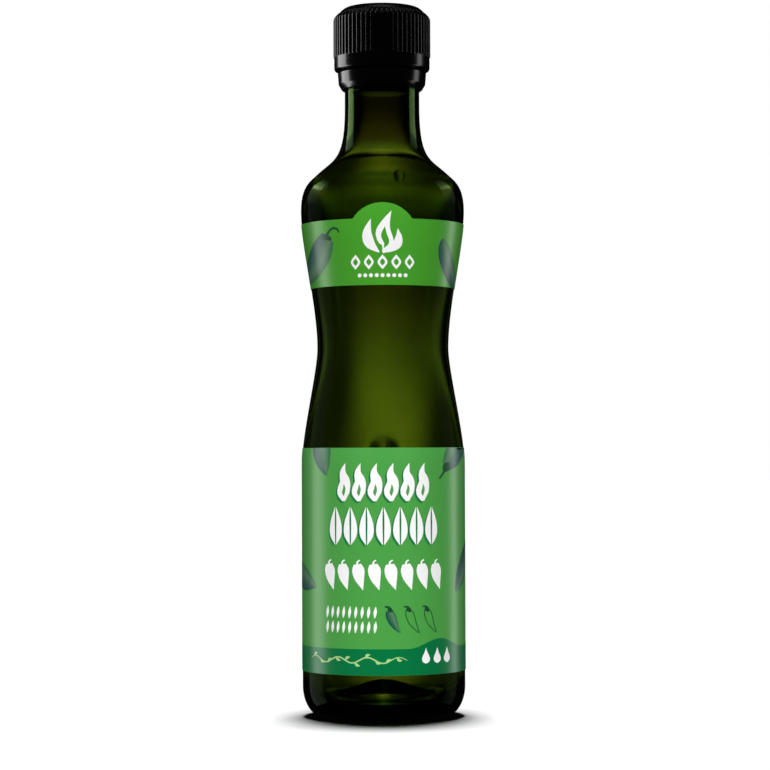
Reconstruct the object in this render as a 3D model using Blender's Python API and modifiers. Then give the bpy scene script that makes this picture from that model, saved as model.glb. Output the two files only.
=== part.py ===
"""A small hot sauce bottle: waisted dark glass, filled with sauce, shut by a ribbed screw cap with its
tamper band, and carrying two wrap-round labels. Metres, +Z up, the bottle stands on Z = 0 and its labels
face -Y."""

import math

import bmesh
import bpy
from mathutils import Matrix, Vector

# Outside of the glass, from the table up: a stand ring, a rounded heel, a straight body, a waist, a bulge,
# a neck.
BODY_RADIUS = 0.0158
STAND_RADIUS = 0.0119
STAND_WIDTH = 0.0009
HEEL_HEIGHT = 0.0060
BODY_TOP = 0.0494
WAIST_HEIGHT = 0.0715
WAIST_RADIUS = 0.01277
BULGE_HEIGHT = 0.0982
BULGE_RADIUS = 0.0159
SHOULDER_HEIGHT = 0.1050
SHOULDER_RADIUS = 0.01308
SHOULDER_SLOPE = math.radians(46)
NECK_BASE = 0.1188
NECK_RADIUS = 0.00727
MOUTH_HEIGHT = 0.1356

# Inside of the glass: the wall, the push-up in the base and the domed floor over it.
WALL = 0.0025
NECK_WALL = 0.0026
PUNT_HEIGHT = 0.0042
FLOOR_TOP = 0.0072
FLOOR_EDGE = 0.0038
FLOOR_RADIUS = 0.0095
INNER_HEEL_TOP = 0.0090
LIP_BEVEL = 0.0005

# The sauce reaches into the neck, just under the cap. It keeps a hair's gap to the glass.
SAUCE_LEVEL = 0.1213
SAUCE_GAP = 0.0001

# The cap: a smooth skirt, a ribbed grip and a rounded crown.
CAP_BOTTOM = 0.1256
CAP_TOP = 0.1380
SKIRT_RADIUS = 0.00932
SKIRT_TOP = 0.1282
SKIRT_BEVEL = 0.0004
GRIP_RADIUS = 0.00915
GRIP_TOP = 0.1360
CROWN_RADIUS = 0.0062
CAP_BORE = 0.0077
CAP_CEILING = 0.1359
RIBS = 60
RIB_RADIUS = 0.00033
RIB_TOP = 0.1359
RIB_TOP_SLOPE = 1.2

# The tamper band under the cap, with a chamfer that closes on the neck.
BAND_TOP = 0.1253
BAND_RADIUS = 0.00862
BAND_LOW_RADIUS = 0.00846
BAND_EDGE = 0.1229
BAND_BOTTOM = 0.1219
BAND_BORE = 0.00757

# The labels: film wrapped round from the front, nearly shut at the back. LABEL_STEPS counts each half's
# glass facets.
LABEL_GAP = 0.0001
LABEL_THICKNESS = 0.00015
LABEL_STEPS = 19
BODY_LABEL_BOTTOM = 0.0091
BODY_LABEL_TOP = 0.0521
SHOULDER_LABEL_BOTTOM = 0.0830
SHOULDER_LABEL_TOP = 0.0955
TAB_HALF_ANGLE = math.radians(20.8)
TAB_RISE = 0.0030

TURN_STEPS = 40
MERGE = 1e-6


def clear_scene():
    for obj in list(bpy.data.objects):
        bpy.data.objects.remove(obj)


def new_collection(name):
    collection = bpy.data.collections.new(name)
    bpy.context.scene.collection.children.link(collection)
    return collection


def new_material(name, colour, roughness, transmission=0.0):
    material = bpy.data.materials.new(name)
    material.use_nodes = True
    shader = material.node_tree.nodes["Principled BSDF"]
    shader.inputs["Base Color"].default_value = (*colour, 1.0)
    shader.inputs["Roughness"].default_value = roughness
    shader.inputs["Metallic"].default_value = 0.0
    shader.inputs["Transmission Weight"].default_value = transmission
    return material


def new_object(name, bm, collection, material=None):
    mesh = bpy.data.meshes.new(name)
    bm.to_mesh(mesh)
    bm.free()
    mesh.shade_smooth()
    obj = bpy.data.objects.new(name, mesh)
    collection.objects.link(obj)
    if material:
        mesh.materials.append(material)
    return obj


def bezier(start, start_handle, end_handle, end, spans):
    """Points of one cubic curve, without its first."""
    points = []
    for i in range(1, spans + 1):
        t = i / spans
        s = 1 - t
        points.append(s**3 * start + 3 * s * s * t * start_handle + 3 * s * t * t * end_handle + t**3 * end)
    return points


def quarter_round(start, corner, end, spans):
    """Points of a quarter of an ellipse from start to end that bulges towards corner, without its first."""
    middle = start + end - corner
    points = []
    for i in range(1, spans + 1):
        turn = math.pi / 2 * i / spans
        points.append(middle + (corner - end) * math.cos(turn) + (corner - start) * math.sin(turn))
    return points


def side_curve():
    """The outside of the glass from the top of the body to the foot of the neck, as (radius, height)."""
    up = Vector((0, 1))
    body = Vector((BODY_RADIUS, BODY_TOP))
    waist = Vector((WAIST_RADIUS, WAIST_HEIGHT))
    bulge = Vector((BULGE_RADIUS, BULGE_HEIGHT))
    shoulder = Vector((SHOULDER_RADIUS, SHOULDER_HEIGHT))
    neck = Vector((NECK_RADIUS, NECK_BASE))
    lean = Vector((-math.sin(SHOULDER_SLOPE), math.cos(SHOULDER_SLOPE)))
    return [
        body,
        *bezier(body, body + up * 0.0056, waist - up * 0.0044, waist, 5),
        *bezier(waist, waist + up * 0.0082, bulge - up * 0.0062, bulge, 5),
        *bezier(bulge, bulge + up * 0.0047, shoulder - lean * 0.0016, shoulder, 3),
        *bezier(shoulder, shoulder + lean * 0.0050, neck - up * 0.0109, neck, 5),
    ]


def moved_in(points, depth_at):
    """The points moved to their left, which is into the glass where the curve runs upwards."""
    moved = []
    for i, point in enumerate(points):
        ahead = points[min(i + 1, len(points) - 1)] - points[max(i - 1, 0)]
        moved.append(point + Vector((-ahead.y, ahead.x)).normalized() * depth_at(point.y))
    return moved


def wall_at(height):
    """The wall thickens from the shoulder to the neck."""
    share = (height - SHOULDER_HEIGHT) / (NECK_BASE - SHOULDER_HEIGHT)
    return WALL + (NECK_WALL - WALL) * min(max(share, 0), 1)


def inner_curve(gap, top):
    """The inside of the glass from the middle of the floor up to top, moved in by gap."""
    wall = [Vector((p.x - gap, p.y)) for p in moved_in(side_curve(), wall_at)]
    floor_edge = Vector((FLOOR_RADIUS - gap, FLOOR_EDGE + gap))
    heel = Vector((wall[0].x, INNER_HEEL_TOP))
    points = []
    for i in range(4):
        share = i / 4
        height = floor_edge.y + (FLOOR_TOP - FLOOR_EDGE) * (1 + math.cos(math.pi * share)) / 2
        points.append(Vector((floor_edge.x * share, height)))
    points.append(floor_edge)
    points += bezier(floor_edge, floor_edge + Vector((0.0026, -0.0003)), heel - Vector((0, 0.0034)), heel, 3)
    return [*points, *wall, Vector((wall[-1].x, top))]


def outer_curve():
    """The outside of the glass from the mouth down to the middle of the push-up."""
    stand_outer = Vector((STAND_RADIUS, 0))
    stand_inner = Vector((STAND_RADIUS - STAND_WIDTH, 0))
    heel_top = Vector((BODY_RADIUS, HEEL_HEIGHT))
    heel_corner = Vector((BODY_RADIUS, 0))
    points = [
        Vector((NECK_RADIUS - LIP_BEVEL, MOUTH_HEIGHT)),
        Vector((NECK_RADIUS, MOUTH_HEIGHT - LIP_BEVEL)),
        *reversed(side_curve()),
        heel_top,
        *quarter_round(heel_top, heel_corner, stand_outer, 4),
        stand_inner,
    ]
    for i in range(1, 5):
        share = i / 4
        height = PUNT_HEIGHT * (1 - math.cos(math.pi * share)) / 2
        points.append(Vector((stand_inner.x * (1 - share), height)))
    return points


def turned(name, profile, collection, material, steps=TURN_STEPS):
    """A profile of (radius, height) turned about Z. It starts inside and runs down its outer side."""
    bm = bmesh.new()
    corners = [bm.verts.new((point.x, 0, point.y)) for point in profile]
    for a, b in zip(corners, corners[1:]):
        bm.edges.new((a, b))
    obj = new_object(name, bm, collection, material)
    screw = obj.modifiers.new("Turn", "SCREW")
    screw.angle = math.tau
    screw.steps = steps
    screw.render_steps = steps
    screw.use_merge_vertices = True
    screw.merge_threshold = MERGE
    return obj


def ring(points):
    """A closed profile, for a turned ring that doesn't reach the axis."""
    return [*points, points[0]]


def make_glass(collection, material):
    inside = inner_curve(0, MOUTH_HEIGHT - LIP_BEVEL)
    lip = Vector((inside[-1].x + LIP_BEVEL, MOUTH_HEIGHT))
    return turned("glass_bottle", [*inside, lip, *outer_curve()], collection, material)


def make_sauce(collection, material):
    profile = [*inner_curve(SAUCE_GAP, SAUCE_LEVEL), Vector((0, SAUCE_LEVEL))]
    return turned("sauce", profile[::-1], collection, material)


def make_rib(number, collection):
    """One rib of the grip. Its top slants down outwards, as the crown does."""
    bm = bmesh.new()
    bmesh.ops.create_cone(
        bm,
        cap_ends=True,
        segments=8,
        radius1=RIB_RADIUS,
        radius2=RIB_RADIUS,
        depth=RIB_TOP - SKIRT_TOP,
        matrix=Matrix.Translation((GRIP_RADIUS, 0, (RIB_TOP + SKIRT_TOP) / 2)),
    )
    for vertex in bm.verts:
        if vertex.co.z > SKIRT_TOP + RIB_RADIUS:
            vertex.co.z -= (vertex.co.x - GRIP_RADIUS) * RIB_TOP_SLOPE
    rib = new_object(f"rib_{number:02d}", bm, collection)
    rib.rotation_euler.z = math.tau * (number + 0.5) / RIBS
    return rib


def make_cap(collection, cutters, material):
    grip_top = Vector((GRIP_RADIUS, GRIP_TOP))
    crown = Vector((CROWN_RADIUS, CAP_TOP))
    profile = [
        Vector((0, CAP_CEILING)),
        Vector((CAP_BORE, CAP_CEILING)),
        Vector((CAP_BORE, CAP_BOTTOM)),
        Vector((SKIRT_RADIUS - SKIRT_BEVEL, CAP_BOTTOM)),
        Vector((SKIRT_RADIUS, CAP_BOTTOM + SKIRT_BEVEL)),
        Vector((SKIRT_RADIUS, SKIRT_TOP)),
        Vector((GRIP_RADIUS, SKIRT_TOP)),
        grip_top,
        *bezier(grip_top, grip_top + Vector((-0.0008, 0.0009)), crown + Vector((0.0010, 0)), crown, 4),
        Vector((0, CAP_TOP)),
    ]
    cap = turned("screw_cap", profile[::-1], collection, material, RIBS)
    for number in range(RIBS):
        make_rib(number, cutters)
    union = cap.modifiers.new("Ribs", "BOOLEAN")
    union.operation = "UNION"
    union.operand_type = "COLLECTION"
    union.collection = cutters
    union.solver = "EXACT"
    return cap


def make_band(collection, material):
    profile = [
        Vector((BAND_BORE, BAND_TOP)),
        Vector((BAND_RADIUS, BAND_TOP)),
        Vector((BAND_LOW_RADIUS, BAND_EDGE)),
        Vector((BAND_BORE + SKIRT_BEVEL, BAND_BOTTOM)),
        Vector((BAND_BORE, BAND_BOTTOM)),
    ]
    return turned("tamper_band", ring(profile), collection, material)


def glass_radius(height):
    """The outside of the glass at a height, on the same straight spans as the solid."""
    outline = [Vector((BODY_RADIUS, 0)), *side_curve()]
    for low, high in zip(outline, outline[1:]):
        if height <= high.y:
            return low.x + (high.x - low.x) * (height - low.y) / (high.y - low.y)
    return NECK_RADIUS


def make_label(name, angles, bottom, top_at, collection, material):
    """A grid bent round the bottle, with a column for each angle from the front and rows that keep to the
    glass's spans."""
    lowest_top = min(top_at(angle) for angle in angles)
    heights = [point.y for point in side_curve() if bottom + LABEL_GAP < point.y < lowest_top - LABEL_GAP]
    columns = len(angles) - 1
    rows = len(heights) + 1
    bm = bmesh.new()
    bmesh.ops.create_grid(bm, x_segments=columns, y_segments=rows, size=0.5)
    for vertex in bm.verts:
        angle = angles[round((vertex.co.x + 0.5) * columns)]
        height = [bottom, *heights, top_at(angle)][round((vertex.co.y + 0.5) * rows)]
        reach = glass_radius(height) + LABEL_GAP
        vertex.co = (reach * math.sin(angle), -reach * math.cos(angle), height)
    label = new_object(name, bm, collection, material)
    film = label.modifiers.new("Film", "SOLIDIFY")
    film.thickness = LABEL_THICKNESS
    film.offset = 1
    return label


def tab_top(angle):
    """The upper label's top edge: level, with a round tab at the front."""
    half_width = BULGE_RADIUS * TAB_HALF_ANGLE
    across = min(abs(BULGE_RADIUS * angle), half_width)
    tab_radius = (half_width**2 + TAB_RISE**2) / (2 * TAB_RISE)
    return SHOULDER_LABEL_TOP + TAB_RISE - tab_radius + math.sqrt(tab_radius**2 - across**2)


def make_labels(collection, material):
    side = [math.tau * step / TURN_STEPS for step in range(-LABEL_STEPS, -2)]
    tab = [TAB_HALF_ANGLE * math.sin(math.pi * step / 14) for step in range(-7, 8)]
    upper = [*side, *tab, *(-angle for angle in reversed(side))]
    lower = [math.tau * step / TURN_STEPS for step in range(-LABEL_STEPS, LABEL_STEPS + 1)]
    make_label("shoulder_label", upper, SHOULDER_LABEL_BOTTOM, tab_top, collection, material)
    make_label("body_label", lower, BODY_LABEL_BOTTOM, lambda angle: BODY_LABEL_TOP, collection, material)


def main():
    clear_scene()
    bottle = new_collection("hot_sauce_bottle")
    cutters = new_collection("cap_ribs")
    glass = new_material("dark_green_glass", (0.02, 0.05, 0.01), 0.03, 1.0)
    sauce = new_material("green_sauce", (0.12, 0.17, 0.01), 0.3)
    plastic = new_material("black_plastic", (0.006, 0.006, 0.006), 0.3)
    film = new_material("green_label_film", (0.07, 0.34, 0.03), 0.35)
    make_glass(bottle, glass)
    make_sauce(bottle, sauce)
    make_cap(bottle, cutters, plastic)
    make_band(bottle, plastic)
    make_labels(bottle, film)
    for rib in cutters.objects:
        rib.hide_render = True
        rib.display_type = "WIRE"


main()
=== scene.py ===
"""A small bottle of green hot sauce, put together from its glass up: bottle, sauce, screw cap, tamper band, labels."""

import math

import bmesh
import bpy
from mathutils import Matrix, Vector, noise


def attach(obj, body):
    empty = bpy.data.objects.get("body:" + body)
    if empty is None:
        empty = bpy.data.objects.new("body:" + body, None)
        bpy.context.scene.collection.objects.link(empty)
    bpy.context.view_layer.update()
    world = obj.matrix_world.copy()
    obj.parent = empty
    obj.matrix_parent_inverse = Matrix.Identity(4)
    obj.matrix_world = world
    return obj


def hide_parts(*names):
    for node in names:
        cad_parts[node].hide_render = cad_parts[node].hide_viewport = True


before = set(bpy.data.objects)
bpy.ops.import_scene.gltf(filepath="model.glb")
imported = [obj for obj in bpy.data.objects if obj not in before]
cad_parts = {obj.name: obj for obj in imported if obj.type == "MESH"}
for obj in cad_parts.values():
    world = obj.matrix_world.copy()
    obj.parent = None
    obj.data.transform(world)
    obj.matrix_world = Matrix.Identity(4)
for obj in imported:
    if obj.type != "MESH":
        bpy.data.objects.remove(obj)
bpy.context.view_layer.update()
scene = bpy.context.scene

# Camera. It stands half a metre in front of the bottle, level with the top of the body label, and looks a little
# up. The picture is square, shows 150 mm of height at the bottle, and leans by a fraction of a degree.
CAMERA_PLACE = Vector((0.00034, -0.499, 0.0509))
CAMERA_AIM_HEIGHT = 0.05985
CAMERA_LEAN = math.radians(0.2)
CAMERA_SHIFT = 0.03
PICTURE_PIXELS = 770
LENS_PIXELS = 2560

camera_data = bpy.data.cameras.new("camera")
camera_data.sensor_width = 36
camera_data.lens = camera_data.sensor_width * LENS_PIXELS / PICTURE_PIXELS
camera_data.shift_y = CAMERA_SHIFT
camera_data.clip_start = 0.01
camera = bpy.data.objects.new("camera", camera_data)
camera.location = CAMERA_PLACE
camera_tilt = math.atan2(CAMERA_AIM_HEIGHT - CAMERA_PLACE.z, -CAMERA_PLACE.y)
camera.rotation_euler = (math.pi / 2 + camera_tilt, CAMERA_LEAN, 0)
scene.collection.objects.link(camera)
scene.camera = camera
scene.view_settings.view_transform = "Standard"


# Floor and light. A pale sweep, soft daylight from the front, the back and above that only lights matt surfaces,
# strip lights on both sides for the gloss, and lit cards all round that shine only through the glass.
def srgb(code):
    """A colour written as sRGB hex, as linear red, green, blue and alpha."""
    values = [int(code[i : i + 2], 16) / 255 for i in (1, 3, 5)]
    return (*((v / 12.92 if v <= 0.04045 else ((v + 0.055) / 1.055) ** 2.4) for v in values), 1.0)


def add(tree, kind, inputs=None, **settings):
    """Adds a node, sets its own properties, and feeds each of its inputs a value or another node's output."""
    made = tree.nodes.new(kind)
    for key, value in settings.items():
        setattr(made, key, value)
    for key, value in (inputs or {}).items():
        if isinstance(value, bpy.types.NodeSocket):
            tree.links.new(value, made.inputs[key])
        else:
            made.inputs[key].default_value = value
    return made


def ramp(node, stops):
    """Fills a colour ramp, from its lower end to its upper one, with (position, colour) stops."""
    elements = node.color_ramp.elements
    node.color_ramp.interpolation = "EASE"
    elements[0].position, elements[0].color = stops[0]
    elements[1].position, elements[1].color = stops[-1]
    for position, colour in stops[1:-1]:
        elements.new(position).color = colour


def empty_material(name):
    """A new material with nothing in its node tree, and that tree."""
    material = bpy.data.materials.new(name)
    material.use_nodes = True
    material.node_tree.nodes.clear()
    return material, material.node_tree


def to_object(name, bm, *materials, sharp=math.radians(35)):
    """The finished mesh as an object at the origin, shaded smooth but for its edges sharper than the given angle."""
    mesh = bpy.data.meshes.new(name)
    bm.to_mesh(mesh)
    bm.free()
    mesh.shade_smooth()
    mesh.set_sharp_from_angle(angle=sharp)
    for material in materials:
        mesh.materials.append(material)
    made = bpy.data.objects.new(name, mesh)
    scene.collection.objects.link(made)
    return made


FLOOR_SIZE = 4.0
PAINTED_SHADE_REACH = 0.008
floor_bm = bmesh.new()
bmesh.ops.create_grid(floor_bm, x_segments=1, y_segments=1, size=FLOOR_SIZE)

# Matt paper, just off white, with painted shade: an occlusion node darkens its colour right at the bottle's foot.
paper, tree = empty_material("white_sweep_paper")
painted_contact_shade = add(tree, "ShaderNodeAmbientOcclusion", {"Color": srgb("#F6F6F6"), "Distance": PAINTED_SHADE_REACH})
shader = add(tree, "ShaderNodeBsdfDiffuse", {"Color": painted_contact_shade.outputs["Color"]})
add(tree, "ShaderNodeOutputMaterial", {"Surface": shader.outputs[0]})
floor = to_object("floor", floor_bm, paper)
floor.visible_glossy = floor.visible_transmission = floor.visible_diffuse = floor.visible_shadow = False

all_but_floor = bpy.data.collections.new("all_but_floor")
all_but_floor.objects.link(floor)
all_but_floor.collection_objects[0].light_linking.link_state = "EXCLUDE"
lit_with = {finish: bpy.data.collections.new(f"{finish}_pieces") for finish in ("glass", "label", "plastic")}


def daylight(name, azimuth, elevation, spread, strength, lights_floor=False):
    """Soft daylight from an azimuth, 0 being the camera's side, and an elevation. It gives no reflections."""
    data = bpy.data.lights.new(name, "SUN")
    data.energy = strength
    data.angle = math.radians(spread)
    light = bpy.data.objects.new(name, data)
    light.rotation_euler = (math.radians(90 - elevation), 0, math.radians(azimuth))
    light.visible_glossy = light.visible_transmission = False
    if not lights_floor:
        light.light_linking.receiver_collection = all_but_floor
    scene.collection.objects.link(light)


# Azimuth, elevation and spread in degrees, then strength. Only the one from above lights the floor, for its shadow.
daylight("daylight_front_left", -32, 30, 44, 2.3)
daylight("daylight_front_right", 32, 30, 44, 2.3)
daylight("daylight_back", 180, 30, 120, 2.4)
daylight("daylight_top", 180, 83.8, 9.0, 3.6, lights_floor=True)

# How much of half a panel's width its soft sides take up.
STRIP_SOFTNESS = 0.12
CARD_SOFTNESS = 0.5


def panel(name, place, turn, width, length, radiance, shows_in, finish):
    """A lit panel that shows only in reflections or only through the glass. With a finish, it lights only the pieces
    that have it, as a flag on a stand would see to."""
    data = bpy.data.lights.new(name, "AREA")
    data.shape = "RECTANGLE"
    data.size = width
    data.size_y = length
    data.energy = radiance * math.pi * width * length
    light = bpy.data.objects.new(name, data)
    light.location = place
    light.rotation_euler = turn
    light.visible_camera = light.visible_diffuse = False
    light.visible_glossy = shows_in == "gloss"
    light.visible_transmission = shows_in == "glass"
    if finish:
        light.light_linking.receiver_collection = lit_with[finish]
    scene.collection.objects.link(light)
    return data


def card(name, azimuth, distance, width, levels, radiance, shows_in, finish=None):
    """An upright panel turned to the bottle from an azimuth. Levels gives its strength, and how much of that is green,
    at heights from its lower edge to its upper one. Its sides are soft. Gives back the data of its light."""
    low, high = levels[0][0], levels[-1][0]
    length = high - low
    turn = math.radians(azimuth)
    place = (distance * math.sin(turn), -distance * math.cos(turn), (low + high) / 2)
    data = panel(name, place, (math.pi / 2, 0, turn), width, length, radiance, shows_in, finish)
    data.use_nodes = True
    tree = data.node_tree
    tree.nodes.clear()
    uv = add(tree, "ShaderNodeTexCoord")
    split = add(tree, "ShaderNodeSeparateXYZ", {"Vector": uv.outputs["UV"]})
    off_middle = add(tree, "ShaderNodeMath", {0: split.outputs["X"], 1: 0.5}, operation="SUBTRACT")
    aside = add(tree, "ShaderNodeMath", {0: off_middle.outputs[0]}, operation="ABSOLUTE")
    softness = CARD_SOFTNESS if shows_in == "glass" else STRIP_SOFTNESS
    across = add(
        tree,
        "ShaderNodeMapRange",
        {"Value": aside.outputs[0], "From Min": 0.5, "From Max": 0.5 - softness, "To Min": 0.0, "To Max": 1.0},
        interpolation_type="SMOOTHSTEP",
    )
    up = add(tree, "ShaderNodeValToRGB", {"Fac": split.outputs["Y"]})
    ramp(up, [((height - low) / length, (level, level * green, level * green, 1)) for height, level, green in levels])
    lit = add(tree, "ShaderNodeEmission", {"Color": up.outputs["Color"], "Strength": across.outputs[0]})
    add(tree, "ShaderNodeOutputLight", {"Surface": lit.outputs[0]})
    return data


# Strip lights, each for the gloss of one finish. Two short ones stand close to the neck, and are a little green.
STRIP_FOOT = -0.25
STRIP_TOP = 0.45
STRIP_DISTANCE = 0.50
NECK_STRIP_DISTANCE = 0.06
NECK_STRIP_COLOUR = (0.8, 1.0, 0.5)

# Levels of the lights: height, strength and how much of that is green, from the lower edge to the upper one.
even = [(STRIP_FOOT, 1.0, 1.0), (STRIP_TOP, 1.0, 1.0)]
glass_left = [
    (STRIP_FOOT, 0.16, 1.0),
    (-0.02, 0.15, 1.0),
    (0.03, 0.06, 1.0),
    (0.29, 0.06, 1.0),
    (0.33, 0.25, 1.0),
    (STRIP_TOP, 0.3, 1.0),
]
glass_right = [(STRIP_FOOT, 0.10, 1.0), (-0.02, 0.10, 1.0), (0.03, 0.07, 1.0), (STRIP_TOP, 0.07, 1.0)]
neck_levels = [
    (0.105, 0.0, 1.0),
    (0.112, 0.1, 1.0),
    (0.1225, 0.2, 1.0),
    (0.127, 1.2, 1.0),
    (0.130, 1.2, 1.0),
    (0.133, 0.4, 1.0),
    (0.15, 0.1, 1.0),
]
for name, azimuth, distance, width, levels, radiance, finish in (
    ("strip_left_for_glass", -112, STRIP_DISTANCE, 0.36, glass_left, 1.1, "glass"),
    ("strip_right_for_glass", 110, STRIP_DISTANCE, 0.28, glass_right, 0.6, "glass"),
    ("strip_left_for_neck", -108, NECK_STRIP_DISTANCE, 0.034, neck_levels, 2.0, "glass"),
    ("strip_right_for_neck", 102, NECK_STRIP_DISTANCE, 0.032, neck_levels, 1.2, "glass"),
    ("strip_left_for_labels", -103, STRIP_DISTANCE, 0.24, even, 2.8, "label"),
    ("strip_right_for_labels", 115, STRIP_DISTANCE, 0.13, even, 3.0, "label"),
    ("strip_left_for_cap", -113, STRIP_DISTANCE, 0.34, even, 3.3, "plastic"),
    ("strip_right_for_cap", 102, STRIP_DISTANCE, 0.17, even, 1.3, "plastic"),
):
    strip = card(name, azimuth, distance, width, levels, radiance, "gloss", finish)
    if levels is neck_levels:
        strip.color = NECK_STRIP_COLOUR
SKY_PLACE = (0, -0.1, 0.8)
SKY_SIZE = 0.5
panel("sky_for_cap", SKY_PLACE, (0, 0, 0), SKY_SIZE, SKY_SIZE, 0.3, "gloss", "plastic")

# Cards that shine through the glass: a narrow bright one and a wide faint one, every 45 degrees, with less light at
# the corners. They are turned by a third of a degree, which moves the glow in the glass a little off the middle.
CARD_STEP = 45
CARD_TURN = 0.35
CORNER_SHARE = 0.6
GLOW_DISTANCE = 0.40
GLOW_WIDTH = 0.060
GLOW_RADIANCE = 1.2
HAZE_DISTANCE = 0.42
HAZE_WIDTH = 0.24
glow = [
    (-0.90, 0.10, 1.0),
    (-0.30, 0.30, 1.0),
    (-0.18, 0.65, 0.8),
    (-0.03, 0.7, 0.8),
    (0.0, 1.0, 0.7),
    (0.02, 1.2, 0.65),
    (0.035, 0.90, 0.9),
    (0.05, 0.70, 1.0),
    (0.069, 0.43, 1.0),
    (0.091, 0.36, 1.0),
    (0.104, 0.28, 0.9),
    (0.116, 0.24, 0.7),
    (0.123, 0.13, 0.7),
    (0.154, 0.12, 0.5),
    (0.165, 0.07, 0.5),
    (0.176, 0.01, 0.5),
    (0.24, 0.0, 0.6),
]
haze = [
    (-2.0, 0.12, 1.0),
    (-0.05, 0.16, 0.9),
    (0.0, 0.12, 0.9),
    (0.12, 0.10, 1.0),
    (0.15, 0.03, 0.8),
    (0.17, 0.0, 0.8),
]
for azimuth in range(0, 360, CARD_STEP):
    share = 1.0 if azimuth % 90 == 0 else CORNER_SHARE
    card(f"glow_{azimuth}", azimuth + CARD_TURN, GLOW_DISTANCE, GLOW_WIDTH, glow, GLOW_RADIANCE * share, "glass")
    card(f"haze_{azimuth}", azimuth + CARD_TURN, HAZE_DISTANCE, HAZE_WIDTH, haze, share, "glass")

# The room is white to the camera and almost dark to everything else, so that only the lamps light the bottle.
ROOM_LIGHT = 0.003
world = bpy.data.worlds.new("studio")
world.use_nodes = True
world.node_tree.nodes.clear()
path = add(world.node_tree, "ShaderNodeLightPath")
level = add(
    world.node_tree,
    "ShaderNodeMapRange",
    {"Value": path.outputs["Is Camera Ray"], "To Min": ROOM_LIGHT, "To Max": 1.0},
)
background = add(
    world.node_tree, "ShaderNodeBackground", {"Color": (1, 1, 1, 1), "Strength": level.outputs[0]}
)
add(world.node_tree, "ShaderNodeOutputWorld", {"Surface": background.outputs[0]})
scene.world = world


# Glass bottle. Machine-blown bottle glass, dark olive green, with a smooth fire-polished outside and a slightly
# wavy inside. It has a waisted body, a push-up in its base and a plain neck that the cap closes.
BODY_RADIUS = 0.0158
STAND_RADIUS = 0.0119
STAND_WIDTH = 0.0009
HEEL_HEIGHT = 0.0060
BODY_TOP = 0.0494
WAIST_HEIGHT = 0.0715
WAIST_RADIUS = 0.01277
BULGE_HEIGHT = 0.0982
BULGE_RADIUS = 0.0159
SHOULDER_HEIGHT = 0.1050
SHOULDER_RADIUS = 0.01308
SHOULDER_SLOPE = math.radians(46)
NECK_BASE = 0.1188
NECK_RADIUS = 0.00727
MOUTH_HEIGHT = 0.1356
LIP_ROUNDING = 0.0005
WALL = 0.0025
NECK_WALL = 0.0026
PUNT_HEIGHT = 0.0042
FLOOR_TOP = 0.0072
FLOOR_EDGE = 0.0038
FLOOR_RADIUS = 0.0095
INNER_HEEL_TOP = 0.0090
TURN_STEPS = 144
STRAIGHT_SPANS = 12
NECK_SPANS = 6
WAVINESS = 0.00022
WAVE_LENGTH = 0.011
WAVE_FADE = 0.006

# How far the outline runs straight on below and above each of its turning points, before it bends away.
BODY_EASE = 0.0056
WAIST_EASE = (0.0044, 0.0082)
BULGE_EASE = (0.0062, 0.0047)
SHOULDER_EASE = (0.0016, 0.0050)
NECK_EASE = 0.0109
FLOOR_EASE = Vector((0.0026, -0.0003))
INNER_HEEL_EASE = Vector((0, 0.0034))

# Where the wall is thicker or, below nought, thinner: turn from the front, height, half breadth, half length, depth.
# The first is a hollow above the body label, and the second is so broad that it is a ring right round the shoulder.
WALL_SPOTS = ((0.0, 0.0500, 0.0034, 0.0046, -0.0013), (0.0, 0.0975, 1.0, 0.0064, 0.0016))


def bezier(start, start_handle, end_handle, end, spans):
    """Points of one cubic curve, without its first."""
    points = []
    for i in range(1, spans + 1):
        t = i / spans
        s = 1 - t
        points.append(s**3 * start + 3 * s * s * t * start_handle + 3 * s * t * t * end_handle + t**3 * end)
    return points


def side_curve():
    """The outside of the glass from the top of the body to the foot of the neck, as (radius, height)."""
    up = Vector((0, 1))
    body = Vector((BODY_RADIUS, BODY_TOP))
    waist = Vector((WAIST_RADIUS, WAIST_HEIGHT))
    bulge = Vector((BULGE_RADIUS, BULGE_HEIGHT))
    shoulder = Vector((SHOULDER_RADIUS, SHOULDER_HEIGHT))
    neck = Vector((NECK_RADIUS, NECK_BASE))
    lean = Vector((-math.sin(SHOULDER_SLOPE), math.cos(SHOULDER_SLOPE)))
    return [
        body,
        *bezier(body, body + up * BODY_EASE, waist - up * WAIST_EASE[0], waist, 20),
        *bezier(waist, waist + up * WAIST_EASE[1], bulge - up * BULGE_EASE[0], bulge, 22),
        *bezier(bulge, bulge + up * BULGE_EASE[1], shoulder - lean * SHOULDER_EASE[0], shoulder, 12),
        *bezier(shoulder, shoulder + lean * SHOULDER_EASE[1], neck - up * NECK_EASE, neck, 18),
    ]


glass_outline = side_curve()


def glass_radius(height):
    """The outside of the glass at a height between its heel and its neck."""
    below = Vector((BODY_RADIUS, 0))
    for point in glass_outline:
        if point.y >= height:
            share = (height - below.y) / (point.y - below.y)
            return below.x + (point.x - below.x) * share
        below = point
    return NECK_RADIUS


def wall_at(height):
    """The wall thickens from the shoulder to the neck."""
    share = (height - SHOULDER_HEIGHT) / (NECK_BASE - SHOULDER_HEIGHT)
    return WALL + (NECK_WALL - WALL) * min(max(share, 0), 1)


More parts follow.
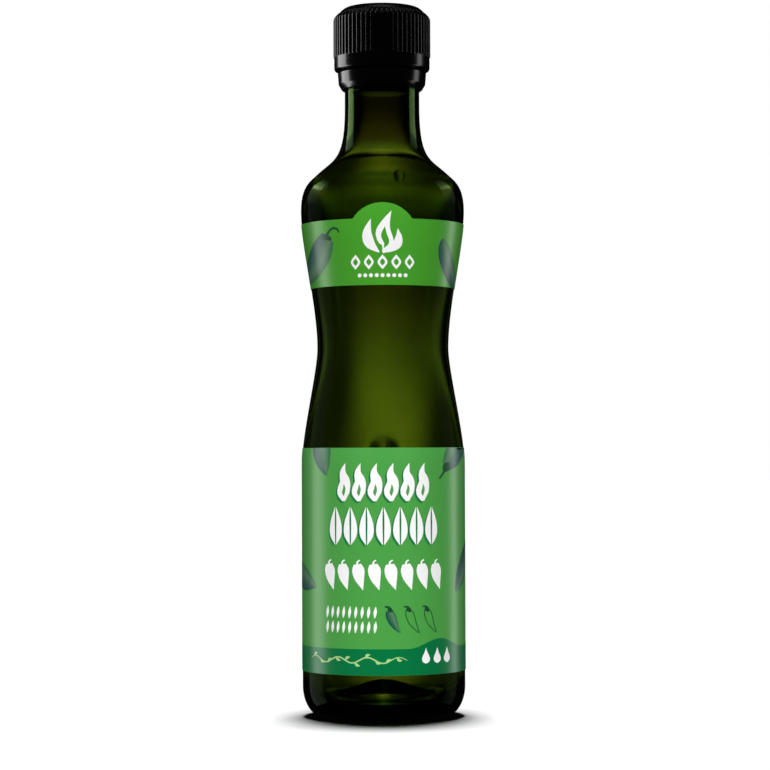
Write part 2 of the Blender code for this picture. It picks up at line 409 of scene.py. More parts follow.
def inner_curve(grow, top):
    """The inside of the glass from the middle of the floor up to top, pushed out into the wall by grow."""
    last = len(glass_outline) - 1
    wall = []
    for i, point in enumerate(glass_outline):
        ahead = glass_outline[min(i + 1, last)] - glass_outline[max(i - 1, 0)]
        inwards = Vector((-ahead.y, ahead.x)).normalized()
        wall.append(point + inwards * (wall_at(point.y) - grow))
    edge = Vector((FLOOR_RADIUS + grow, FLOOR_EDGE - grow))
    heel = Vector((wall[0].x, INNER_HEEL_TOP))
    floor_spans = 14
    points = []
    for i in range(floor_spans):
        share = i / floor_spans
        rise = (1 + math.cos(math.pi * share)) / 2
        points.append(Vector((edge.x * share, edge.y + (FLOOR_TOP - FLOOR_EDGE) * rise)))
    points.append(edge)
    points += bezier(edge, edge + FLOOR_EASE, heel - INNER_HEEL_EASE, heel, 10)
    points += [
        Vector((heel.x, heel.y + (BODY_TOP - heel.y) * i / STRAIGHT_SPANS)) for i in range(1, STRAIGHT_SPANS)
    ]
    neck = [
        Vector((wall[-1].x, NECK_BASE + (top - NECK_BASE) * i / NECK_SPANS)) for i in range(1, NECK_SPANS + 1)
    ]
    return [*points, *wall, *neck]


def outer_curve():
    """The outside of the glass from the lip down to the middle of the push-up."""
    lip = Vector((NECK_RADIUS, MOUTH_HEIGHT))
    heel_spans = 14
    heel = []
    for i in range(1, heel_spans + 1):
        turn = math.pi / 2 * i / heel_spans
        reach = STAND_RADIUS + (BODY_RADIUS - STAND_RADIUS) * math.cos(turn)
        heel.append(Vector((reach, HEEL_HEIGHT * (1 - math.sin(turn)))))
    ring = STAND_RADIUS - STAND_WIDTH
    punt_spans = 16
    punt = []
    for i in range(punt_spans + 1):
        share = i / punt_spans
        punt.append(Vector((ring * (1 - share), PUNT_HEIGHT * (1 - math.cos(math.pi * share)) / 2)))
    lip_turn = [
        lip + Vector((math.cos(turn) - 1, math.sin(turn) - 1)) * LIP_ROUNDING
        for turn in (math.pi / 2, math.pi / 3, math.pi / 6, 0)
    ]
    straight = [
        Vector((BODY_RADIUS, HEEL_HEIGHT + (BODY_TOP - HEEL_HEIGHT) * (1 - i / STRAIGHT_SPANS)))
        for i in range(1, STRAIGHT_SPANS + 1)
    ]
    return [*lip_turn, *reversed(glass_outline), *straight, *heel, *punt]


def turned(points, steps):
    """A profile of (radius, height) points spun about the bottle's axis into a closed skin with its faces outwards."""
    bm = bmesh.new()
    corners = [bm.verts.new((max(point.x, 0), 0, point.y)) for point in points]
    edges = [bm.edges.new(pair) for pair in zip(corners, corners[1:])]
    bmesh.ops.spin(
        bm, geom=[*corners, *edges], axis=(0, 0, 1), cent=(0, 0, 0), angle=math.tau, steps=steps, use_merge=True
    )
    bmesh.ops.remove_doubles(bm, verts=bm.verts, dist=1e-7)
    bmesh.ops.recalc_face_normals(bm, faces=bm.faces)
    return bm


def make_wavy(bm):
    """Moves the inside of the wall in and out a little, as blown glass is, and leaves the rest alone."""
    for vertex in bm.verts:
        reach = vertex.co.xy.length
        height = vertex.co.z
        if reach < NECK_RADIUS / 2 or height < INNER_HEEL_TOP or height > NECK_BASE:
            continue
        if reach < glass_radius(height) - WALL / 2:
            fade = min((height - INNER_HEEL_TOP) / WAVE_FADE, (NECK_BASE - height) / WAVE_FADE, 1)
            place = Vector((vertex.co.x, vertex.co.y, height / 2)) / WAVE_LENGTH
            out = WAVINESS * fade * noise.noise(place)
            turn = math.atan2(vertex.co.x, -vertex.co.y)
            for middle, level, half_width, half_height, depth in WALL_SPOTS:
                off = Vector(((turn - middle) * reach / half_width, (height - level) / half_height)).length
                out -= depth * max(1 - off * off, 0) ** 2
            vertex.co.xy *= 1 + out / reach


inside = inner_curve(0, MOUTH_HEIGHT - LIP_ROUNDING)
inner_lip = inside[-1] + Vector((LIP_ROUNDING, LIP_ROUNDING))
glass_bm = turned([*inside, inner_lip, *outer_curve()], TURN_STEPS)
make_wavy(glass_bm)

# Iron and chromium make the melt olive green. Little blue and red get through, so thick places go near black.
glass_melt, tree = empty_material("dark_olive_bottle_glass")
shader = add(
    tree,
    "ShaderNodeBsdfPrincipled",
    {
        "Base Color": (1, 1, 1, 1),
        "Roughness": 0.015,
        "IOR": 1.5,
        "Transmission Weight": 1.0,
        "Specular Tint": srgb("#8FE07A"),
    },
)
absorption = add(tree, "ShaderNodeVolumeAbsorption", {"Color": srgb("#BACE2A"), "Density": 820.0})
add(tree, "ShaderNodeOutputMaterial", {"Surface": shader.outputs[0], "Volume": absorption.outputs[0]})
bottle = to_object("bottle_glass", glass_bm, glass_melt)
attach(bottle, "root")
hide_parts("glass_bottle")
lit_with["glass"].objects.link(bottle)


# Sauce. A thin green chilli sauce that fills the bottle into the neck. It wets the glass, so its skin lies just
# inside the wall, and it climbs the glass a little round its edge.
SAUCE_LEVEL = 0.1213
SAUCE_REACH = 0.00012
MENISCUS = 0.0005
BUBBLE_SIZE = (0.0010, 0.0003, 0.0010)
BUBBLE_PLACE = (0.0030, -0.0098, 0.1032)
SURFACE_UPRIGHTNESS = 0.3

sauce_side = inner_curve(SAUCE_REACH, SAUCE_LEVEL)
sauce_edge = sauce_side[-1]
surface = [
    Vector((sauce_edge.x * share, SAUCE_LEVEL - MENISCUS * (1 - share**6)))
    for share in (0.97, 0.93, 0.87, 0.8, 0.65, 0.4, 0)
]
sauce_bm = turned([*sauce_side, *surface], TURN_STEPS)
make_wavy(sauce_bm)

# A small bubble clings inside the front of the bottle. It is a hollow in the sauce, so its faces point into it.
bubble = bmesh.ops.create_uvsphere(sauce_bm, u_segments=32, v_segments=16, radius=1)["verts"]
bmesh.ops.scale(sauce_bm, verts=bubble, vec=BUBBLE_SIZE)
bmesh.ops.translate(sauce_bm, verts=bubble, vec=BUBBLE_PLACE)
bmesh.ops.reverse_faces(sauce_bm, faces=list({face for vertex in bubble for face in vertex.link_faces}))

# The faces that look up at the top of the sauce carry the froth.
for face in sauce_bm.faces:
    if face.normal.z > SURFACE_UPRIGHTNESS and face.calc_center_median().z > SAUCE_LEVEL - 2 * MENISCUS:
        face.material_index = 1

# Thin and a little cloudy, which blurs what is behind it. Its index is lower than a real sauce's, because the renderer
# bends light at each skin as if air lay beyond it. The second one is its surface, which fine froth makes matt.
sauces = []
for name, roughness in (("green_chilli_sauce", 0.10), ("sauce_froth", 0.6)):
    sauce_mix, tree = empty_material(name)
    shader = add(
        tree,
        "ShaderNodeBsdfPrincipled",
        {"Base Color": (1, 1, 1, 1), "Roughness": roughness, "IOR": 1.15, "Transmission Weight": 1.0},
    )
    absorption = add(tree, "ShaderNodeVolumeAbsorption", {"Color": srgb("#CDD430"), "Density": 78.0})
    add(tree, "ShaderNodeOutputMaterial", {"Surface": shader.outputs[0], "Volume": absorption.outputs[0]})
    sauces.append(sauce_mix)
sauce = to_object("sauce_filling", sauce_bm, *sauces)
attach(sauce, "root")
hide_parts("sauce")
lit_with["glass"].objects.link(sauce)


# Screw cap. Injection-moulded black polypropylene with sixty grip ribs over a smooth skirt. The ribs run up over
# the rounded shoulder and end at the edge of the crown.
CAP_BOTTOM = 0.1256
CAP_TOP = 0.1380
CAP_BORE = 0.0077
CAP_CEILING = 0.1359
SKIRT_RADIUS = 0.00932
SKIRT_TOP = 0.1282
CREST_RADIUS = 0.00948
RIB_DEPTH = 0.00030
RIBS = 60
STEPS_PER_RIB = 12
SHOULDER_FOOT = 0.1354
CROWN_EDGE = Vector((0.00852, 0.13680))
CROWN_RADIUS = 0.0062
CEILING_ROUNDING = 0.0004
RIM_ROUNDING = 0.0003
RIB_SHARPNESS = 1.8

# The rounding of the skirt's lower edge: in from the skirt and up from the rim.
SKIRT_ROUNDING = ((0.0005, 0), (0.0002, 0.0001), (0.00005, 0.0003), (0, 0.0006))

# The start of the ribs: in from their crests, up from the skirt's top, and the share of their full depth.
RIB_START = ((0.00008, 0.00006, 0.7), (0, 0.00022, 1))
RIB_SPANS = 6

# The rounding from the ribs to the flat of the crown: how far it runs straight on at each of its turning points.
CREST_EASE = Vector((0, 0.0006))
CROWN_EDGE_LEAD = Vector((0.0004, -0.00036))
CROWN_EDGE_STEP = Vector((-0.0001, 0.00005))
CROWN_EDGE_EASE = Vector((-0.0007, 0.0007))
CROWN_EASE = Vector((0.0012, 0))


def cap_profile():
    """Rows of (radius, height, depth of the grooves between the ribs) from inside the cap round to its crown."""
    rows = [
        (0, CAP_CEILING, 0),
        (CAP_BORE - CEILING_ROUNDING, CAP_CEILING, 0),
        (CAP_BORE, CAP_CEILING - CEILING_ROUNDING, 0),
        (CAP_BORE, CAP_BOTTOM + RIM_ROUNDING, 0),
        (CAP_BORE + RIM_ROUNDING, CAP_BOTTOM, 0),
    ]
    rows += [(SKIRT_RADIUS - aside, CAP_BOTTOM + up, 0) for aside, up in SKIRT_ROUNDING]
    rows += [
        (SKIRT_RADIUS, SKIRT_TOP - 0.0001, 0),
        (SKIRT_RADIUS + 0.00003, SKIRT_TOP, 0.00002),
    ]
    rows += [(CREST_RADIUS - aside, SKIRT_TOP + up, RIB_DEPTH * share) for aside, up, share in RIB_START]
    rows += [
        (CREST_RADIUS, SKIRT_TOP + (SHOULDER_FOOT - SKIRT_TOP) * i / RIB_SPANS, RIB_DEPTH)
        for i in range(1, RIB_SPANS + 1)
    ]
    foot = Vector((CREST_RADIUS, SHOULDER_FOOT))
    shoulder = bezier(foot, foot + CREST_EASE, CROWN_EDGE + CROWN_EDGE_LEAD, CROWN_EDGE, 8)
    rows += [(point.x, point.y, RIB_DEPTH) for point in shoulder[:-1]]
    rows.append((CROWN_EDGE.x, CROWN_EDGE.y, RIB_DEPTH * 0.5))
    edge = CROWN_EDGE + CROWN_EDGE_STEP
    rows.append((edge.x, edge.y, 0))
    crown = Vector((CROWN_RADIUS, CAP_TOP))
    dome = bezier(edge, edge + CROWN_EDGE_EASE, crown + CROWN_EASE, crown, 8)
    rows += [(point.x, point.y, 0) for point in dome]
    rows += [(CROWN_RADIUS * share, CAP_TOP, 0) for share in (0.7, 0.35, 0)]
    return rows


rows = cap_profile()
cap_bm = turned([Vector((radius, height)) for radius, height, depth in rows], RIBS * STEPS_PER_RIB)
grooves = {(round(radius, 6), round(height, 6)): depth for radius, height, depth in rows if depth}
for vertex in cap_bm.verts:
    depth = grooves.get((round(vertex.co.xy.length, 6), round(vertex.co.z, 6)))
    if depth:
        turn = math.atan2(vertex.co.y, vertex.co.x) * RIBS
        hollow = ((1 - math.cos(turn)) / 2) ** RIB_SHARPNESS
        vertex.co.xy *= 1 - depth * hollow / vertex.co.xy.length

# Near black, with a satin gloss from the polished mould that varies a little from place to place.
plastic, tree = empty_material("black_polypropylene")
place = add(tree, "ShaderNodeTexCoord")
flow = add(tree, "ShaderNodeTexNoise", {"Vector": place.outputs["Object"], "Scale": 300.0, "Detail": 1.0})
rough = add(tree, "ShaderNodeMapRange", {"Value": flow.outputs["Fac"], "To Min": 0.17, "To Max": 0.2})
shader = add(
    tree,
    "ShaderNodeBsdfPrincipled",
    {"Base Color": srgb("#020202"), "Roughness": rough.outputs[0], "IOR": 1.49, "Specular IOR Level": 0.8},
)
add(tree, "ShaderNodeOutputMaterial", {"Surface": shader.outputs[0]})
cap = to_object("ribbed_screw_cap", cap_bm, plastic, sharp=math.radians(50))
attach(cap, "root")
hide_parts("screw_cap")
lit_with["plastic"].objects.link(cap)


# Tamper band. The ring that stays on the neck when the cap is first opened, moulded in one with the cap from the same
# black polypropylene. It is left without the thin bridges that tie it to the cap. Its lower edge turns in to the neck.
BAND_TOP = 0.1253
BAND_RADIUS = 0.00862
BAND_LOW_RADIUS = 0.00846
BAND_EDGE = 0.1229
BAND_BOTTOM = 0.1219
BAND_BORE = 0.00757
BAND_STEPS = 120

# The roundings of its edges: in from the side and down from the top, in from the side and up from the lower edge, and
# out from the bore and up from the bottom.
BAND_TOP_ROUNDING = ((0.0003, 0), (0.0001, 0.00006), (0, 0.0002))
BAND_EDGE_ROUNDING = ((0, 0.0001), (0.00004, 0), (0.0001, -0.00008))
BAND_FOOT = ((0.0003, 0.00008), (0.0002, 0), (0, 0))

band_profile = [
    Vector((BAND_BORE, BAND_TOP)),
    *(Vector((BAND_RADIUS - aside, BAND_TOP - down)) for aside, down in BAND_TOP_ROUNDING),
    *(Vector((BAND_LOW_RADIUS - aside, BAND_EDGE + up)) for aside, up in BAND_EDGE_ROUNDING),
    *(Vector((BAND_BORE + out, BAND_BOTTOM + up)) for out, up in BAND_FOOT),
    Vector((BAND_BORE, BAND_TOP)),
]
band_bm = turned(band_profile, BAND_STEPS)
band = to_object("tamper_band_ring", band_bm, plastic)
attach(band, "root")
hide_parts("tamper_band")
lit_with["plastic"].objects.link(band)


# Label films. Printed polypropylene film, glued round the bottle with its ends a few millimetres apart at the
# back. The upper one has a round tab at the front, and both have a thin satin varnish.
FILM_REACH = math.radians(171)
FILM_FOOT = -0.00002
FILM_FACE = 0.00010
BODY_LABEL_BOTTOM = 0.0091
BODY_LABEL_TOP = 0.0521
SHOULDER_LABEL_BOTTOM = 0.0830
SHOULDER_LABEL_TOP = 0.0955
TAB_HALF_WIDTH = 0.00577
TAB_RISE = 0.0030
UPPER_FILM_GRID = (400, 24)
LOWER_FILM_GRID = (260, 24)


def wrapped(name, shapes, foot, face, material):
    """Grids bent round the glass. A shape is (columns, rows, place), and place gives a point on the flat label in
    metres, across from the front and up from the table, for its shares along and across the grid."""
    bm = bmesh.new()
    bm.loops.layers.uv.new("print")
    for columns, rows, place in shapes:
        made = bmesh.ops.create_grid(bm, x_segments=columns, y_segments=rows, size=0.5, calc_uvs=True)
        for vertex in made["verts"]:
            across, up = place(vertex.co.x + 0.5, vertex.co.y + 0.5)
            reach = glass_radius(up)
            turn = across / reach
            vertex.co = ((reach + foot) * math.sin(turn), -(reach + foot) * math.cos(turn), up)
    bmesh.ops.remove_doubles(bm, verts=bm.verts, dist=1e-7)
    bmesh.ops.recalc_face_normals(bm, faces=bm.faces)
    for surface in bm.faces:
        if surface.normal.xy.dot(surface.calc_center_median().xy) < 0:
            surface.normal_flip()
    bmesh.ops.solidify(bm, geom=bm.faces, thickness=foot - face)
    bmesh.ops.recalc_face_normals(bm, faces=bm.faces)
    return to_object(name, bm, material)


# A clear varnish over all print gives it one even satin gloss.
VARNISH = {"Roughness": 0.3, "IOR": 1.5}


def varnished_print(name, code):
    """Ink on film under a clear varnish: an even colour with a fine mottle."""
    material, tree = empty_material(name)
    place = add(tree, "ShaderNodeTexCoord")
    mottle = add(tree, "ShaderNodeTexNoise", {"Vector": place.outputs["Object"], "Scale": 900.0, "Detail": 2.0})
    tone = add(tree, "ShaderNodeMapRange", {"Value": mottle.outputs["Fac"], "To Min": 0.97, "To Max": 1.03})
    colour = add(tree, "ShaderNodeHueSaturation", {"Color": srgb(code), "Value": tone.outputs[0]})
    shader = add(tree, "ShaderNodeBsdfPrincipled", {"Base Color": colour.outputs[0], **VARNISH})
    add(tree, "ShaderNodeOutputMaterial", {"Surface": shader.outputs[0]})
    return material


def tab_top(across):
    """The upper label's top edge: level, with a round tab at the front."""
    side = min(abs(across), TAB_HALF_WIDTH)
    tab_radius = (TAB_HALF_WIDTH**2 + TAB_RISE**2) / (2 * TAB_RISE)
    return SHOULDER_LABEL_TOP + TAB_RISE - tab_radius + math.sqrt(tab_radius**2 - side**2)


def field(left, right, bottom_at, top_at):
    """Places a grid between two edges, each given as a height for a distance across the label."""

    def place(s, t):
        across = left + (right - left) * s
        return across, bottom_at(across) + (top_at(across) - bottom_at(across)) * t

    return place


def bent_film(bottom, top_at):
    """Places a film whose ends stand straight up, one behind the other, where the glass narrows too."""

    def place(s, t):
        turn = FILM_REACH * (2 * s - 1)
        up = bottom + (top_at(turn * BULGE_RADIUS) - bottom) * t
        return turn * glass_radius(up), up

    return place


# The films are printed green right across, in a yellower leaf green above and a cooler green below.
upper_film = varnished_print("leaf_green_label_film", "#48A02D")
lower_film = varnished_print("green_label_film", "#4CA047")
upper_label = wrapped(
    "shoulder_label_film",
    [(*UPPER_FILM_GRID, bent_film(SHOULDER_LABEL_BOTTOM, tab_top))],
    FILM_FOOT,
    FILM_FACE,
    upper_film,
)
lower_label = wrapped(
    "body_label_film",
    [(*LOWER_FILM_GRID, bent_film(BODY_LABEL_BOTTOM, lambda across: BODY_LABEL_TOP))],
    FILM_FOOT,
    FILM_FACE,
    lower_film,
)
for film, node in ((upper_label, "shoulder_label"), (lower_label, "body_label")):
    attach(film, "root")
    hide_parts(node)
    lit_with["label"].objects.link(film)
    film.visible_transmission = False


# Label prints. Inks printed on the films, each a few hundredths of a millimetre thick: white ornaments over dark green
# shadows, green chillies, and a dark green wave along the foot of the body label with a pale vine on it.
MM = 0.001
INK_FOOT = 0.00008
UNDER_INK = 0.000112
OVER_INK = 0.000124
TOP_INK = 0.000136
THINNEST_STROKE = 0.01
LOOK_ALONG = 0.02


def smooth(values, share):
    """A value on the smooth curve that passes through evenly spaced ones."""
    place = share * (len(values) - 1)
    i = min(int(place), len(values) - 2)
    t = place - i
    before, start, end, after = (values[min(max(i + k, 0), len(values) - 1)] for k in (-1, 0, 1, 2))
    bend = 2 * before - 5 * start + 4 * end - after
    twist = 3 * start - before - 3 * end + after
    return (2 * start + (end - before) * t + bend * t**2 + twist * t**3) / 2


def stroke(points, widths, at=(0, 0), limits=(0, 200)):
    """Places a grid along the smooth line through points on the flat label, in millimetres across from the front and
    up from the table. Widths are its breadths from start to end, and it stays between two heights."""
    line = [Vector(at) + Vector(point) for point in points]

    def place(s, t):
        middle = smooth(line, s)
        ahead = smooth(line, min(s + LOOK_ALONG, 1)) - smooth(line, max(s - LOOK_ALONG, 0))
        sideways = Vector((-ahead.y, ahead.x)).normalized()
        spot = middle + sideways * max(smooth(widths, s), THINNEST_STROKE) * (t - 0.5)
        return spot.x * MM, min(max(spot.y, limits[0]), limits[1]) * MM

    return place


def rank(count, pitch, height, middle=0.0):
    """Evenly spaced places on the flat label, side by side at one height, in millimetres."""
    return [(middle + pitch * (i - (count - 1) / 2), height) for i in range(count)]


def printed(name, shapes, face, ink, columns=14, rows=4):
    """One ink of the print: shapes wrapped round the glass, riding with the label that they are printed on."""
    made = wrapped(name, [(columns, rows, shape) for shape in shapes], INK_FOOT, face, ink)
    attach(made, "root")
    lit_with["label"].objects.link(made)
    made.visible_transmission = False


# Flat, even inks: a clean white, a dark blue-green for shadows and the wave, and a pale and a deep green for fine
# lines and stalks.
white_ink = varnished_print("white_ink", "#FBFBFB")
shadow_ink = varnished_print("dark_green_ink", "#06743F")
vine_ink = varnished_print("pale_green_ink", "#A9D58E")
stalk_ink = varnished_print("deep_green_ink", "#1B4A2E")

# Each ornament is the line of a stroke and its breadths, in millimetres from the ornament's foot.
flame = ([(0, 0), (-0.15, 1.6), (0.25, 3.6), (-0.2, 5.4), (0.35, 7.2)], [0.6, 2.6, 2.2, 1.3, 0])
flame_heart = ([(0, 0.9), (-0.05, 1.6), (0.1, 2.4), (0.0, 3.3)], [0, 0.6, 0.5, 0])
leaf_left = ([(-0.1, 0), (-0.72, 2.0), (-0.68, 4.4), (-0.1, 7.2)], [0, 1.15, 1.0, 0])
leaf_right = ([(0.1, 0), (0.72, 2.0), (0.68, 4.4), (0.1, 7.2)], [0, 1.15, 1.0, 0])
pod = ([(-0.35, 4.9), (-0.2, 3.8), (0.05, 2.2), (0.75, 0)], [1.5, 2.4, 1.9, 0])
pod_stalk = ([(-0.38, 4.7), (-0.35, 5.3), (0.15, 5.7)], [0.45, 0.32, 0.25])
lozenge = ([(0, 0), (0, 1.4), (0, 2.8)], [0, 1.9, 0])
dot = ([(0, -0.38), (0, -0.27), (0, 0), (0, 0.27), (0, 0.38)], [0, 0.54, 0.76, 0.54, 0])
seed = ([(-0.12, 0), (0, 1.1), (0.12, 2.2)], [0.1, 0.62, 0.1])
drop = ([(0, 0), (0, 0.35), (0, 0.9), (0, 1.5), (0, 2.2), (0, 3.0)], [0, 1.35, 1.75, 1.35, 0.6, 0])

SHADOW_LEFT = 0.32
SHADOW_DOWN = 0.3
flame_places = rank(6, pitch=3.1, height=42.0)
lozenge_places = rank(5, pitch=2.6, height=85.9)
title = [(*flame, place) for place in flame_places]
title += [(*leaf, place) for place in rank(7, pitch=3.2, height=33.7) for leaf in (leaf_left, leaf_right)]
printed(
    "title_ornament_shadows",
    [stroke(points, widths, (x - SHADOW_LEFT, y - SHADOW_DOWN)) for points, widths, (x, y) in title],
    UNDER_INK,
    shadow_ink,
)
pods = [(*part, place) for place in rank(8, pitch=3.1, height=25.2) for part in (pod, pod_stalk)]
small = [(*seed, place) for height in (19.9, 17.1) for place in rank(9, pitch=1.25, height=height, middle=-6.6)]
small += [(*drop, place) for place in rank(3, pitch=2.6, height=11.2, middle=10.9)]
emblem = [
    ([(0.1, 89.0), (0.9, 90.6), (0.2, 92.6), (0.6, 94.6), (1.7, 96.9)], [0.4, 2.4, 3.0, 1.7, 0], (0, 0)),
    ([(-0.6, 89.1), (-2.4, 90.8), (-2.9, 92.8), (-2.2, 95.4)], [0.2, 1.9, 1.7, 0], (0, 0)),
    ([(0.8, 89.1), (2.6, 90.4), (3.1, 91.8), (2.9, 93.6)], [0.2, 1.6, 1.4, 0], (0, 0)),
]
emblem += [(*lozenge, place) for place in lozenge_places]
emblem += [(*dot, place) for place in rank(9, pitch=1.1, height=84.8)]
printed(
    "white_ornaments",
    [stroke(points, widths, at) for points, widths, at in title + pods + small + emblem],
    OVER_INK,
    white_ink,
)
printed("flame_hearts", [stroke(*flame_heart, place) for place in flame_places], TOP_INK, lower_film)
emblem_hearts = [stroke([(0.25, 89.9), (0.75, 91.0), (0.3, 92.4), (0.5, 94.0)], [0, 1.0, 1.1, 0])]
emblem_hearts += [stroke([(0, 0.7), (0, 1.4), (0, 2.1)], [0, 0.95, 0], place) for place in lozenge_places]
printed("emblem_hearts", emblem_hearts, TOP_INK, upper_film)

# The wave's level, and each swell on it: its distance from the front, half its width and its rise, in millimetres.
WAVE_LEVEL = 14.1
WAVE_SWELLS = ((11.6, 7.0, 1.8), (-33, 11.0, 1.2), (36, 9.0, 0.9))
WAVE_MARGIN = 0.00002


def wave_top(across):
    """The wave's crest: level, with a long swell right of the front and lower ones round the back."""
    height = WAVE_LEVEL
    for middle, half_width, rise in WAVE_SWELLS:
        share = min(abs(across / MM - middle) / half_width, 1)
        height += rise * (1 + math.cos(math.pi * share)) / 2
    return height * MM


wave_reach = FILM_REACH * BODY_RADIUS
wave = field(-wave_reach, wave_reach, lambda across: BODY_LABEL_BOTTOM + WAVE_MARGIN, wave_top)
printed("wave_band_ink", [wave], UNDER_INK, shadow_ink, columns=260, rows=6)

VINE_START = -16.6
VINE_HEIGHT = 12.0
VINE_SWING = 0.55
VINE_TURN = 1.05
VINE_POINTS = 22
vine_line = [(VINE_START + i, VINE_HEIGHT + VINE_SWING * math.sin(i * VINE_TURN)) for i in range(VINE_POINTS)]
vine = [stroke(vine_line, [0.12, 0.26, 0.26, 0.26, 0.12])]
for i in range(1, VINE_POINTS - 1, 2):
    side = 1 if i % 4 == 1 else -1
    vine.append(stroke([(0, 0), (0.45, 0.45 * side), (1.1, 0.62 * side)], [0.1, 0.55, 0], vine_line[i]))
printed("vine_ink", vine, OVER_INK, vine_ink, columns=60)


# Chillies. Printed on the films in shaded green ink, lying across them and running off their edges, with three small
# ones in a row that stand for the heat: the first full, the others in outline.

# Four tones run across each chilli, darkest at one edge and lightest past the middle, so that it looks round.
chilli_ink, tree = empty_material("chilli_ink")
uv = add(tree, "ShaderNodeUVMap", uv_map="print")
across = add(tree, "ShaderNodeSeparateXYZ", {"Vector": uv.outputs["UV"]})
tones = add(tree, "ShaderNodeValToRGB", {"Fac": across.outputs["Y"]})
ramp(tones, [(0, srgb("#134843")), (0.3, srgb("#2F6150")), (0.68, srgb("#56805F")), (1, srgb("#2E6C42"))])
shader = add(tree, "ShaderNodeBsdfPrincipled", {"Base Color": tones.outputs["Color"], **VARNISH})
add(tree, "ShaderNodeOutputMaterial", {"Surface": shader.outputs[0]})

# Lines and breadths in millimetres on the flat labels, with the heights between which each label shows them.
upper = (83.05, 95.4)
lower = (9.2, 52.05)
chillies = [
    (
        [(-11.4, 92.2), (-12.9, 90.2), (-15.0, 88.2), (-17.8, 86.6), (-21.5, 85.6), (-26, 85.6)],
        [3.4, 5.6, 6.0, 5.2, 3.4, 0],
        upper,
    ),
    ([(13.2, 92.0), (13.4, 90.2), (14.6, 87.8), (16.8, 85.4), (19.4, 83.6)], [1.0, 3.4, 4.4, 4.2, 2.6], upper),
    ([(-13.6, 54.0), (-13.2, 51.0), (-12.5, 48.8), (-11.8, 46.9)], [5.4, 5.0, 3.2, 0.4], lower),
    ([(13.4, 48.5), (15.4, 50.4), (18.0, 52.4), (22.0, 54.5)], [2.4, 5.0, 5.8, 5.0], lower),
    ([(-28.5, 28.2), (-25.2, 27.9), (-21.6, 27.4), (-18.2, 26.6), (-15.0, 25.6)], [1.6, 4.6, 4.9, 3.8, 0.6], lower),
    ([(27.0, 34.0), (23.6, 31.8), (20.6, 29.2), (18.3, 26.8), (16.6, 24.6)], [1.6, 4.8, 5.0, 3.6, 0.4], lower),
    ([(-33, 44.0), (-31.0, 41.6), (-30.6, 38.4), (-32.4, 34.6)], [3.0, 4.8, 3.8, 0], lower),
    ([(35.5, 45.0), (33.0, 43.0), (31.4, 40.0), (31.6, 35.8)], [3.0, 4.8, 3.8, 0], lower),
    ([(-38.5, 24.5), (-37.0, 22.6), (-38.0, 19.6), (-40.5, 17.2)], [2.6, 4.0, 3.0, 0], lower),
    ([(38.0, 25.5), (36.0, 23.5), (35.2, 20.6), (36.6, 17.4)], [2.6, 4.0, 3.0, 0], lower),
    ([(31.0, 93.0), (33.4, 91.0), (36.0, 89.4), (40.0, 88.8)], [2.8, 4.2, 3.4, 0], upper),
    ([(-32.0, 92.6), (-34.0, 90.6), (-37.0, 89.0), (-40.5, 88.6)], [2.8, 4.2, 3.4, 0], upper),
]
printed(
    "printed_chillies",
    [stroke(points, widths, limits=limits) for points, widths, limits in chillies],
    UNDER_INK,
    chilli_ink,
    columns=28,
    rows=8,
)
printed(
    "heat_scale_chilli",
    [stroke([(1.0, 21.4), (1.35, 20.3), (2.1, 18.6), (3.2, 17.1)], [1.3, 1.9, 1.4, 0.1])],
    UNDER_INK,
    chilli_ink,
    columns=20,
    rows=8,
)
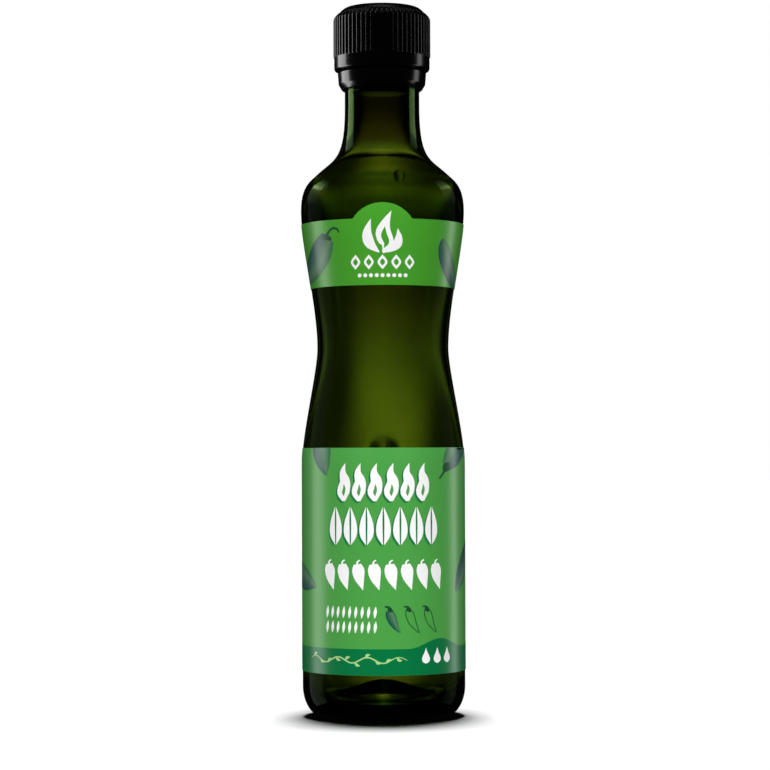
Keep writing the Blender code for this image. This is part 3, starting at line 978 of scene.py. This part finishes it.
stalks = [
    ([(-13.2, 92.2), (-12.0, 92.4), (-10.5, 91.8)], [0.5, 1.2, 0.5]),
    ([(-11.8, 92.4), (-11.1, 93.3), (-10.1, 93.9), (-9.1, 93.7), (-8.7, 93.0)], [0.7, 0.5, 0.42, 0.38, 0.3]),
    ([(14.6, 48.9), (13.4, 48.3), (12.9, 47.6)], [0.9, 1.8, 0.8]),
    ([(13.3, 48.1), (12.7, 47.3), (11.6, 46.2)], [0.7, 0.45, 0.35]),
    ([(-29.6, 28.9), (-28.7, 28.3), (-27.9, 27.2)], [0.6, 1.6, 0.6]),
    ([(-28.9, 28.3), (-30.4, 28.6), (-31.8, 28.0)], [0.8, 0.5, 0.35]),
    ([(26.6, 35.0), (27.2, 34.2), (27.6, 33.0)], [0.6, 1.6, 0.6]),
    ([(27.2, 34.2), (28.4, 35.2), (29.8, 35.4)], [0.8, 0.5, 0.35]),
    ([(-33.8, 44.2), (-33.0, 44.2), (-32.0, 43.6)], [0.4, 1.2, 0.4]),
    ([(-33.1, 44.3), (-33.6, 45.4), (-34.6, 46.0)], [0.6, 0.42, 0.3]),
    ([(36.4, 44.9), (35.6, 45.2), (34.6, 44.8)], [0.4, 1.2, 0.4]),
    ([(35.6, 45.2), (36.2, 46.2), (37.2, 46.6)], [0.6, 0.42, 0.3]),
    ([(-38.9, 24.5), (-38.4, 25.4), (-37.6, 26.0)], [0.8, 0.4, 0.3]),
    ([(38.2, 25.6), (38.8, 26.5), (39.6, 26.8)], [0.8, 0.4, 0.3]),
    ([(31.0, 93.1), (30.2, 93.8), (29.2, 93.8)], [0.9, 0.4, 0.3]),
    ([(-32.0, 92.7), (-31.2, 93.5), (-30.2, 93.6)], [0.9, 0.4, 0.3]),
]
HEAT_SCALE_PLACES = (0.0, 3.6, 7.4)
for x in HEAT_SCALE_PLACES:
    stalks.append(([(x + 0.2, 22.1), (x + 0.9, 22.0), (x + 1.2, 21.5), (x + 1.7, 21.2)], [0.3, 0.45, 0.9, 0.3]))
printed("chilli_stalks", [stroke(points, widths) for points, widths in stalks], OVER_INK, stalk_ink)
OUTLINE_WIDTHS = [0.16] * 4
outlines = []
for x in HEAT_SCALE_PLACES[1:]:
    left = [(x + 0.7, 21.6), (x + 0.6, 20.5), (x + 1.3, 18.8), (x + 3.1, 17.1)]
    right = [(x + 1.9, 21.3), (x + 2.3, 20.3), (x + 2.7, 18.8), (x + 3.3, 17.1)]
    outlines += [stroke(left, OUTLINE_WIDTHS), stroke(right, OUTLINE_WIDTHS)]
printed("heat_scale_outlines", outlines, OVER_INK, stalk_ink)
